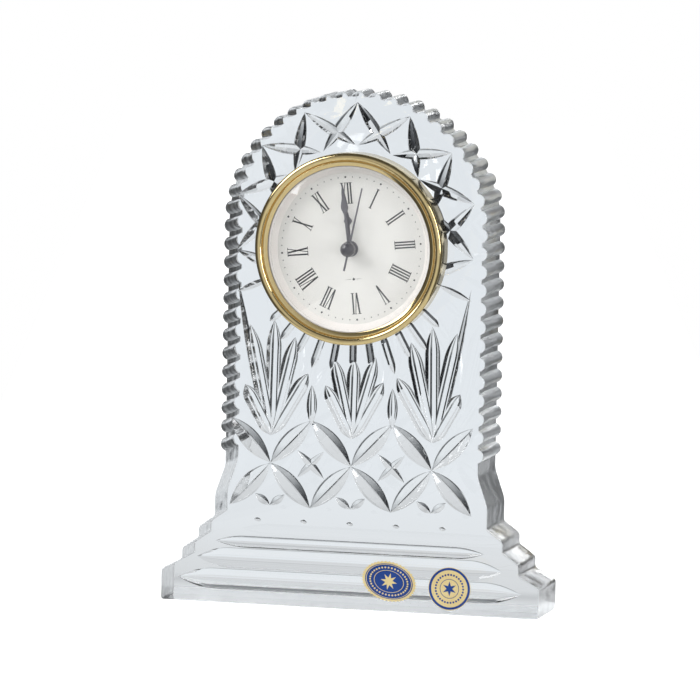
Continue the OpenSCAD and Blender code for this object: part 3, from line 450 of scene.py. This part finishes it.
def arc(x, y, rx, ry, start, end, n):
    """n points of an ellipse about (x, y), from the angle start to end: (x + rx cos a, y + ry sin a)."""
    a = np.linspace(start, end, n) * deg
    return np.stack([x + rx * np.cos(a), y + ry * np.sin(a)], 1).tolist()


def finish(name, light, dark, pattern, size, relief, lay=(0.0, 0.0, 0.0), **settings):
    """A material whose colour runs from dark to light over a pattern, size mm from one ridge to the next and
    relief mm deep. GRAIN suits a moulded, cast or painted skin, BRUSHED a rolled or drawn one, RINGS one
    turned about the axis through lay, and WOUND turns of wire up the clock."""
    made, tree, surface = material(name, **settings)
    here = add(tree, "TexCoord").outputs["Object"]
    spot = add(tree, "Mapping", Vector=here, Location=[-0.001 * v for v in lay])
    ways = {"RINGS": {"wave_type": "RINGS", "rings_direction": "Y"}, "WOUND": {"bands_direction": "Z"}}
    if pattern in ways:
        way = ways[pattern]
        grain = add(tree, "TexWave", way, Vector=spot, Scale=314 / size, Distortion=0.4, Detail=1.0)
    else:
        spot.inputs["Scale"].default_value = (1, 1, 0.04) if pattern == "BRUSHED" else (1, 1, 1)
        grain = add(tree, "TexNoise", Vector=spot, Scale=1000 / size, Detail=3.0, Roughness=0.6)
    blotch = add(tree, "TexNoise", Vector=here, Scale=1000 / (size * 14), Detail=2.0)
    half_blotch = add(tree, "Math", {"operation": "MULTIPLY"}, i_0=blotch, i_1=0.5)
    tone = add(tree, "Math", {"operation": "MULTIPLY_ADD"}, i_0=grain, i_1=0.5, i_2=half_blotch)
    tint = add(tree, "ValToRGB", Fac=tone, stops=[(0.3, dark), (0.7, light)])
    tree.links.new(tint.outputs[0], surface.inputs["Base Color"])
    rough = settings.get("Roughness", 0.5)
    worn = add(tree, "MapRange", Value=blotch, From_Min=0.3, From_Max=0.7, To_Min=rough * 0.8,
               To_Max=rough * 1.25)
    tree.links.new(worn.outputs[0], surface.inputs["Roughness"])
    dent = add(tree, "Bump", Height=grain, Distance=relief * 0.001, Strength=1.0)
    tree.links.new(dent.outputs[0], surface.inputs["Normal"])
    return made


def dress(piece, body, node, skin):
    """Gives a piece its material and its body, and hides the CAD node it stands for, if there is one."""
    piece.data.materials.append(skin)
    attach(piece, body)
    if node:
        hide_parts(node)


rolled = arc(33.25, 9.35, 1.38, 1.55, -29, 165, 26)
bead = arc(31.35, 9.78, 0.3, 0.3, 20, 110, 6)
bezel = [[30.7, 0], [33.7, 0], [34.3, 0.12], [34.45, 0.5], [34.45, 8.6], *rolled, [31.86, 9.62],
         [31.76, 9.62], [31.68, 9.8], *bead, [30.8, 9.86], [30.2, 9.64], [30.04, 9.54], [30.0, 9.42],
         [30.0, 9.3], [30.7, 9.3]]
# Gold a few microns thick over polished brass: mirror bright, with the faint orange peel of the plating.
gold = finish("gold_plated_brass_polished", "f2dda8", "e6cc90", "GRAIN", 1.6, 0.004, Metallic=1.0,
              Roughness=0.1)
points, sides = lathe(bezel, 288)
dress(put("bezel_ring", facing(points), sides), "clock", "bezel", gold)

# The lens: a domed watch glass, pressed from mineral glass and ground at its rim, which sits under the
# bezel's lip on the sloping ring.
seat, dome_top, dome, lens_wall = 8.2, 15.0, 81.797, 1.3
rim_a, rim_b = np.arcsin(29.95 / dome), np.arcsin(28.8 / (dome - lens_wall))
outer_dome = arc(0, dome_top - dome, dome, dome, 90, 90 - rim_a / deg, 40)
inner_dome = arc(0, dome_top - dome, dome - lens_wall, dome - lens_wall, 90 - rim_b / deg, 90, 40)
lens = [*outer_dome, [30.5, 9.3], [30.62, 9.2], [30.62, seat + 0.1], [30.5, seat], [28.8, seat], *inner_dome]
# Mineral glass, polished: clear, with a faint film that takes the edge off its reflections.
clear_glass, tree, surface = material("mineral_glass_polished", Base_Color=linear("fcfdfd"), Roughness=0.0,
                                      IOR=1.5, Transmission_Weight=1.0)
film = add(tree, "TexNoise", Vector=add(tree, "TexCoord").outputs["Object"], Scale=60.0, Detail=3.0)
haze = add(tree, "MapRange", Value=film, From_Min=0.5, From_Max=0.8, To_Min=0.0, To_Max=0.03)
tree.links.new(haze.outputs[0], surface.inputs["Roughness"])
clear = add(tree, "BsdfTransparent", Color=(0.94, 0.94, 0.94, 1))
mixed = add(tree, "MixShader", i_0=add(tree, "LightPath").outputs["Is Shadow Ray"], i_1=surface, i_2=clear)
tree.links.new(mixed.outputs[0], tree.nodes["Material Output"].inputs[0])
points, sides = lathe(lens, 192)
dress(put("domed_lens", facing(points), sides), "clock", "lens", clear_glass)

# The sloping ring between dial and lens, moulded in white plastic with a satin skin.
dial_face = 5.0
ring = [[27.2, dial_face], [27.22, 5.12], [27.35, 5.3], [29.55, 8.05], [29.7, seat], [30.5, seat],
        [30.62, 8.1], [30.62, dial_face]]
satin = finish("white_polystyrene_satin", "f4efeb", "ede7e2", "GRAIN", 0.5, 0.006, Roughness=0.38)
points, sides = lathe(ring, 192)
dress(put("sloping_ring", facing(points), sides), "clock", "dial_ring", satin)

# The dial: a blanked brass disc, lacquered white, with its numerals and minute dots printed in dark grey.
# Roman numerals stand with their tops outwards, IIII for four.
plate = [[2.1, 4.6], [30.5, 4.6], [30.62, 4.7], [30.62, 4.9], [30.5, dial_face], [2.2, dial_face],
         [2.1, 4.92]]
enamel = finish("white_lacquered_brass", "f6f4f0", "f1efeb", "GRAIN", 0.35, 0.003, Roughness=0.5)
points, sides = lathe(plate, 192)
dress(put("dial_plate", facing(points), sides), "clock", "dial", enamel)


def prisms(corners, low, high):
    """Upright prisms over k polygons of n corners each, an array (k, n, 2) that runs anticlockwise, from the
    level low to high."""
    corners = np.asarray(corners, float)
    k, n = corners.shape[:2]
    levels = [np.concatenate([corners, np.full((k, n, 1), z)], -1) for z in (low, high)]
    points = np.concatenate(levels, 1).reshape(-1, 3)
    i = np.arange(n)
    side = np.stack([i, (i + 1) % n, (i + 1) % n + n, i + n], 1)
    faces = []
    for first in range(0, k * 2 * n, 2 * n):
        faces += (side + first).tolist() + [(i[::-1] + first).tolist(), (i + n + first).tolist()]
    return points, faces


foot, top, serif, hairline = 16.0, 23.6, 0.3, 0.2
letter_widths = {"I": 1.0, "V": 2.0, "X": 2.1}
# Each stroke is its foot's place, its top's place and its width across
letter_strokes = {"I": [(0, 0, 0.54)], "V": [(0, -0.72, 0.58), (0.1, 0.78, 0.27)],
                  "X": [(0.66, -0.66, 0.58), (-0.7, 0.7, 0.27)]}
shapes, angles = [], []
for hour, numeral in enumerate(("XII", "I", "II", "III", "IIII", "V", "VI", "VII", "VIII", "IX", "X", "XI")):
    start = -sum(letter_widths[letter] for letter in numeral) / 2
    for letter in numeral:
        mid = start + letter_widths[letter] / 2
        start += letter_widths[letter]
        for low, high_end, across in letter_strokes[letter]:
            a, b, h = mid + low, mid + high_end, across / 2
            shapes.append([[a - h, foot], [a + h, foot], [b + h, top], [b - h, top]])
            for place, base in ((a, foot), (b, top - hairline)):
                if letter != "V" or base > foot:
                    w = h + serif
                    shapes.append([[place - w, base], [place + w, base], [place + w, base + hairline],
                                   [place - w, base + hairline]])
            angles += [hour] * (len(shapes) - len(angles))
shapes, angles = np.array(shapes), np.array(angles)[:, None] * 30 * deg
u, v = shapes[..., 0], shapes[..., 1]
printed = np.stack([u * np.cos(angles) + v * np.sin(angles), v * np.cos(angles) - u * np.sin(angles)], -1)
dot_ring, minute = 25.6, np.arange(60)[:, None] * 6 * deg
dot = np.where(np.arange(60) % 5 == 0, 0.36, 0.19)[:, None]
spin = np.arange(12)[None] * 30 * deg
dots = np.stack([dot_ring * np.sin(minute) + dot * np.cos(spin),
                 dot_ring * np.cos(minute) + dot * np.sin(spin)], -1)
rule = np.array([[[-3.2, -11.06], [-1.0, -11.12], [-1.0, -10.98], [-3.2, -11.04]],
                 [[1.0, -11.12], [3.2, -11.06], [3.2, -11.04], [1.0, -10.98]],
                 [[0, -11.6], [0.55, -11.05], [0, -10.5], [-0.55, -11.05]]])
ink = finish("dark_grey_pad_print", "505052", "444446", "GRAIN", 0.2, 0.002, Roughness=0.55)
for name, shape in (("numerals", printed), ("minute_dots", dots), ("dial_ornament", rule)):
    points, sides = prisms(shape, dial_face - 0.02, dial_face + 0.02)
    dress(put(name, facing(points), sides), "clock", None, ink)

# The hands: stamped from thin brass, slightly crowned and lacquered dark grey. The hour and minute hands
# have a round boss, a slim stem and a leaf; a glossy ball caps all three.
hand_thick = 0.35


def blade(keys, level, crowned=0.1):
    """A hand's blade up the y axis, on keys of (y, half width): between two keys the width follows
    3s^2 - 2s^3. Its underside lies at level, and its upper side falls by crowned times the square of the way
    to the edge."""
    keys = np.array(keys, float)
    spans = [np.linspace(a, b, 10, endpoint=False) for a, b in zip(keys[:-1, 0], keys[1:, 0])]
    y = np.concatenate(spans + [keys[-1:, 0]])
    k = np.clip(np.searchsorted(keys[:, 0], y, "right") - 1, 0, len(keys) - 2)
    s = (y - keys[k, 0]) / (keys[k + 1, 0] - keys[k, 0])
    w = keys[k, 1] + (keys[k + 1, 1] - keys[k, 1]) * (3 * s ** 2 - 2 * s ** 3)
    u = np.array([-1, -0.55, 0, 0.55, 1, 1, -1])
    z = level + np.array([hand_thick - crowned * fall for fall in (1, 0.3, 0, 0.3, 1)] + [0, 0])
    points = np.stack([w[:, None] * u, y[:, None] + 0 * u, 0 * y[:, None] + z], -1)
    sides = quads(len(y), 7).tolist() + [list(range(7))[::-1], list(range((len(y) - 1) * 7, len(y) * 7))]
    return points.reshape(-1, 3), sides


def join(*parts):
    """Several meshes as one: their points in a row, and each one's faces moved on past the points before."""
    points, faces = [], []
    for some, rows in parts:
        start = sum(len(p) for p in points)
        points.append(some)
        faces += [[start + i for i in row] for row in rows]
    return np.concatenate(points), faces


def boss(inner, outer, level):
    """A round boss with a soft upper edge, as thick as the hand."""
    return lathe([[inner, level], [outer, level], [outer, level + 0.22], [outer - 0.04, level + 0.31],
                  [outer - 0.13, level + hand_thick], [inner, level + hand_thick]], 64)


lacquer = finish("dark_grey_lacquered_brass", "727076", "66646a", "BRUSHED", 0.3, 0.004, Metallic=0.1,
                 Roughness=0.42)
# By name, body, boss (inner and outer radius and level), degrees anticlockwise from twelve, and blade
for name, body, hub, off_twelve, keys in (
        ("hour_hand_leaf", "hours", (1.6, 2.9, 6.4), 0,
         [(1.9, 0.56), (8.2, 0.5), (9.9, 1.5), (11.8, 0.55), (14.0, 0.06)]),
        ("minute_hand_leaf", "minutes", (0.9, 2.2, 7.55), 2,
         [(1.2, 0.56), (12.0, 0.5), (15.0, 1.3), (19.0, 0.55), (23.6, 0.08)]),
        ("second_hand_needle", "seconds", (0.4, 1.4, 8.6), -17.5,
         [(-8.0, 0.34), (-1.2, 0.34), (1.2, 0.34), (22.4, 0.24)])):
    points, sides = join(blade(keys, hub[2]), boss(*hub))
    node = "_".join(name.split("_")[:2])
    dress(put(name, facing(points, turn=6 + off_twelve), sides), body, node, lacquer)
ball, ball_height = 2.75, 9.95
shine = finish("black_glossy_lacquer", "46444a", "3e3c42", "GRAIN", 0.8, 0.002, Roughness=0.12,
               Coat_Weight=0.6, Coat_Roughness=0.05)
round_side = arc(0, ball_height, ball, ball, 86, -21.3, 26)
points, sides = lathe([[0, ball_height + ball], *round_side, [0, 8.95]], 64)
dress(put("ball_cap", facing(points), sides), "seconds", "hand_cap", shine)

# The foil labels: printed foil on a sticky back, the oval one with a serrated rim. They carry plain rings,
# dots and a star, pressed a little proud.
pale = finish("pale_gold_printed_foil", "f3e0a8", "e6cd8d", "GRAIN", 0.8, 0.012, Metallic=0.45,
              Roughness=0.34)
blue = finish("blue_printed_foil", "214a98", "173a80", "GRAIN", 0.8, 0.012, Metallic=0.35, Roughness=0.3)


def star(tips, outer, inner):
    """A star as kites from its middle: each has its tip at outer and its shoulders at inner, half a step
    aside."""
    a = np.arange(tips)[:, None] * 2 * np.pi / tips + np.pi / 2
    half_step = np.pi / tips
    r, b = np.array([[0.0, inner, outer, inner]]), np.array([[0.0, -half_step, 0.0, half_step]])
    return np.stack([r * np.cos(a + b), r * np.sin(a + b)], -1)


def beads(count, rx, ry, size):
    """Small discs round an ellipse, at equal steps of its angle."""
    a, b = np.arange(count)[:, None] * 2 * np.pi / count, np.arange(10)[None] * 36 * deg
    return np.stack([rx * np.cos(a) + size * np.cos(b), ry * np.sin(a) + size * np.sin(b)], -1)


def washer(outer, inner, low, high):
    """The profile of a flat ring between two levels."""
    return [[inner, low], [outer, low], [outer, high], [inner, high]]


def disc(r, low, high):
    """The profile of a thin disc between two levels, with a soft upper edge."""
    return [[0, high], [r - 0.004, high], [r, (low + high) / 2], [r, low], [0, low]]


def serrated(a):
    """The rim of the oval label at angle a, with 44 small teeth."""
    return 1 - 0.0225 * (1 - np.cos(44 * a))


oval, oval_at, oval_turn, round_at = (10.25, 7.25), (15, 11), -12, (37.5, 9.5)
oval_print = join(lathe(washer(0.84, 0.82, 0.11, 0.14), 160, oval),
                  lathe(washer(0.55, 0.53, 0.11, 0.14), 128, oval),
                  prisms(beads(36, oval[0] * 0.69, oval[1] * 0.68, 0.34), 0.11, 0.14),
                  prisms(star(8, 3.1, 1.35), 0.11, 0.14))
round_print = join(lathe(washer(7.6, 6.75, 0.08, 0.12), 160), lathe(washer(3.55, 3.35, 0.08, 0.12), 96),
                   prisms(beads(30, 5.1, 5.1, 0.38), 0.08, 0.12), prisms(star(6, 2.7, 1.1), 0.08, 0.12))
for name, (points, sides), at, turn, foil, node, slot in (
        ("oval_foil", lathe(disc(1.0, 0, 0.09), 352, oval, serrated), oval_at, oval_turn, pale, "oval_label",
         "gold_foil"),
        ("oval_field", lathe(disc(0.875, 0.08, 0.115), 160, oval), oval_at, oval_turn, blue, None,
         "blue_foil"),
        ("oval_motif", oval_print, oval_at, oval_turn, pale, None, "gold_foil"),
        ("round_foil", lathe(disc(7.8, 0, 0.09), 160), round_at, 0, pale, "round_label", "gold_foil"),
        ("round_motif", round_print, round_at, 0, blue, None, "blue_foil")):
    dress(put(name, facing(points, at, turn), sides), "crystal", node, foil)

# The grip gasket: a band of black rubber with three soft ribs, moulded to grip the crystal's bore.
ribs = [[[29.15, z], [29.75, z + 0.1], [29.95, z + 0.4], [29.95, z + 1.0], [29.75, z + 1.3], [29.15, z + 1.4]]
        for z in (-10.0, -6.5, -3.0)]
rubber = finish("nitrile_rubber_moulded", "2a2a2c", "1f1f21", "GRAIN", 0.3, 0.01, Roughness=0.6)
points, sides = lathe([[28.4, -11], [29.1, -11], [29.15, -10.9], *ribs[0], *ribs[1], *ribs[2], [29.15, -0.7],
                       [29.1, -0.6], [28.4, -0.6]], 160)
dress(put("ribbed_gasket", facing(points), sides), "clock", "grip_gasket", rubber)

# The setting knob and the battery hatch, moulded in black ABS. The knob has fine ribs to grip, and the
# hatch a slot for a coin.
black = finish("black_abs_moulded", "333335", "29292b", "GRAIN", 0.25, 0.008, Roughness=0.42)
knob_at, cell_at = [-6.0, -10.392, 0], [9.55, -16.541, 0]


def ribbed(a):
    """The knob's rim at angle a: 24 rounded ribs."""
    return 1 - 0.035 * (0.5 - 0.5 * np.cos(24 * a)) ** 0.6


def milled(a):
    """The hatch's rim at angle a: 60 shallow ridges."""
    return 1 - 0.006 * (0.5 - 0.5 * np.cos(60 * a))


knob = [[0, -13.8], [3.35, -13.8], [3.6, -14.0], [3.6, -15.95], [3.5, -16.12], [3.3, -16.2], [2.5, -16.2],
        [2.3, -16.1], [0, -16.05]]
points, sides = lathe(knob, 240, swell=ribbed)
dress(put("ribbed_knob", facing(points + knob_at), sides), "setting", "setting_knob", black)
hatch = [[0, -14.2], [5.9, -14.2], [6.05, -14.3], [7.05, -14.3], [7.3, -14.1], [7.3, -13.5], [6.4, -13.5],
         [6.4, -12.4], [6.3, -12.3], [0, -12.3]]
points, sides = lathe(hatch, 240, swell=milled)
lid = put("coin_slot_hatch", facing(points + cell_at), sides)
points, sides = prisms([[[-4.87, -0.8], [4.87, -0.8], [4.87, 0.8], [-4.87, 0.8]]], -15.3, -13.7)
coin = put("coin", facing(points + cell_at), sides)
coin_cut = lid.modifiers.new("coin_slot", "BOOLEAN")
coin_cut.operation, coin_cut.solver, coin_cut.object = "DIFFERENCE", "MANIFOLD", coin
bpy.context.view_layer.update()
lid.data = bpy.data.meshes.new_from_object(lid.evaluated_get(bpy.context.evaluated_depsgraph_get()))
lid.modifiers.clear()
bpy.data.objects.remove(coin)
lid.data.materials.clear()
dress(lid, "hatch", "battery_hatch", black)

# The case behind the bezel, moulded in off-white ABS. Its back carries two raised rings, and a raised arc
# runs a third of the way round the hatch.
ivory = finish("off_white_abs_moulded", "e6e4dc", "dcdad1", "GRAIN", 0.3, 0.008, Roughness=0.45)
back_level, inner_arc, outer_arc = -13.45, 8.35, 8.75
arc_a = np.linspace(0, 120, 13) * deg
unit = np.stack([np.cos(arc_a), np.sin(arc_a)], 1)
pieces = np.stack([inner_arc * unit[:-1], outer_arc * unit[:-1],
                   outer_arc * unit[1:], inner_arc * unit[1:]], 1)
raised, raised_sides = prisms(pieces, -13.7, back_level)
points, sides = join(lathe([[27.0, back_level], [27.6, back_level], [27.5, -13.75], [27.1, -13.75]], 160),
                     lathe([[14.2, back_level], [14.6, back_level], [14.5, -13.7], [14.3, -13.7]], 128),
                     (raised + cell_at, raised_sides))
dress(put("case_marks", facing(points), sides), "clock", None, ivory)

# The parts that stay as they are drawn: the lock ring, the case and the movement inside it. Each takes the
# finish of the real part.
axis = facing([0, 0, 0]).tolist()
cell_axis = facing(cell_at).tolist()
finishes = (
    (ivory, "case_cup"),
    (finish("nickel_plated_steel_pressed", "c9cacd", "b4b5b8", "RINGS", 0.4, 0.004, axis, Metallic=1.0,
            Roughness=0.3), "lock_ring"),
    (finish("grey_acetal_moulded", "c4c4bf", "b7b7b2", "GRAIN", 0.4, 0.01, Roughness=0.5), "mainplate"),
    (finish("blue_abs_moulded", "3a5f9c", "2f5189", "GRAIN", 0.4, 0.01, Roughness=0.4), "train_bridge"),
    (finish("zinc_plated_steel_screws", "bcbec2", "9ea0a4", "GRAIN", 0.3, 0.006, Metallic=1.0,
            Roughness=0.32), "bridge_screws"),
    (finish("solder_mask_on_glass_epoxy", "2a7a48", "1a5a33", "BRUSHED", 0.7, 0.012, Roughness=0.3,
            Coat_Weight=0.3), "circuit_board"),
    (finish("black_epoxy_potting", "232325", "19191b", "GRAIN", 0.9, 0.03, Roughness=0.25), "ic_chip"),
    (finish("tinned_steel_can", "d4d6d9", "bfc1c5", "BRUSHED", 0.25, 0.004, Metallic=1.0, Roughness=0.22),
     "quartz_can"),
    (finish("annealed_iron_sheet", "94969a", "7f8185", "BRUSHED", 0.3, 0.006, Metallic=1.0, Roughness=0.42),
     "stator", "coil_core"),
    (finish("enamelled_copper_wire", "c9703a", "6e3416", "WOUND", 0.12, 0.03, axis, Metallic=0.85,
            Roughness=0.28), "coil_winding"),
    (finish("sintered_magnet_alloy", "5a5a5d", "48484b", "GRAIN", 0.15, 0.008, Metallic=0.8, Roughness=0.5),
     "rotor_magnet"),
    (finish("white_acetal_moulded", "ecebe4", "e0dfd7", "GRAIN", 0.25, 0.005, Roughness=0.38),
     "rotor_pinion", "minute_wheel", "setting_shaft", "hour_wheel"),
    (finish("natural_acetal_moulded", "e2d9b4", "d5caa0", "GRAIN", 0.25, 0.005, Roughness=0.38),
     "fifth_wheel", "seconds_wheel", "third_wheel", "centre_wheel"),
    (finish("turned_brass", "d9b86e", "c4a055", "RINGS", 0.15, 0.003, axis, Metallic=1.0, Roughness=0.25),
     "cannon_pinion"),
    (finish("nickel_plated_cell_steel", "d2d3d6", "bdbec2", "RINGS", 0.3, 0.003, cell_axis, Metallic=1.0,
            Roughness=0.24), "button_cell"),
    (finish("spring_brass_sheet", "dcbf78", "c9a95f", "BRUSHED", 0.3, 0.004, Metallic=1.0, Roughness=0.3),
     "cell_contact_minus", "cell_contact_plus"),
)
for skin, *nodes in finishes:
    for node in nodes:
        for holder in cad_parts[node].material_slots:
            holder.material = skin
